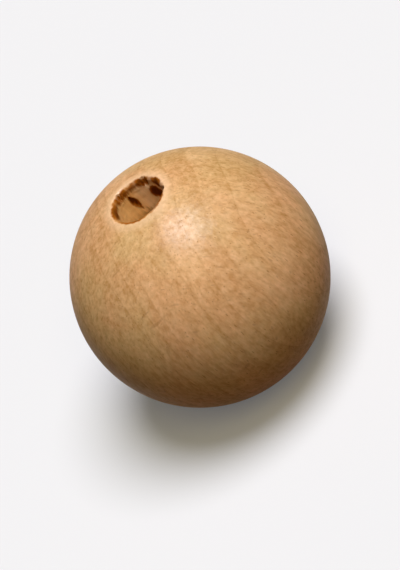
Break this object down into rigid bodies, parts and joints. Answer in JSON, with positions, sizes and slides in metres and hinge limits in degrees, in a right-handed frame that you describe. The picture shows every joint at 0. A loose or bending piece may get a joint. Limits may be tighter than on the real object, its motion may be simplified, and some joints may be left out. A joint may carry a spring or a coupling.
{
  "type": "wooden bead",
  "caption": "Round turned wooden bead with a straight bore through its middle for a cord and softly eased mouths, one of them chipped.",
  "frame": {"origin": "middle of the ball, halfway along the bore's axis", "axes": "+Z along the bore towards the mouth with the tear-outs; +X and +Y lie across the bore, with the largest tear-out 30 degrees from +X towards -Y"},
  "size_m": [0.025, 0.025, 0.0242],
  "materials": {
    "wood": "satin, sanded and tumbled with a thin coat of wax or oil"
  },
  "bodies": {
    "root": {"bead": "wood"}
  },
  "joints": []
}
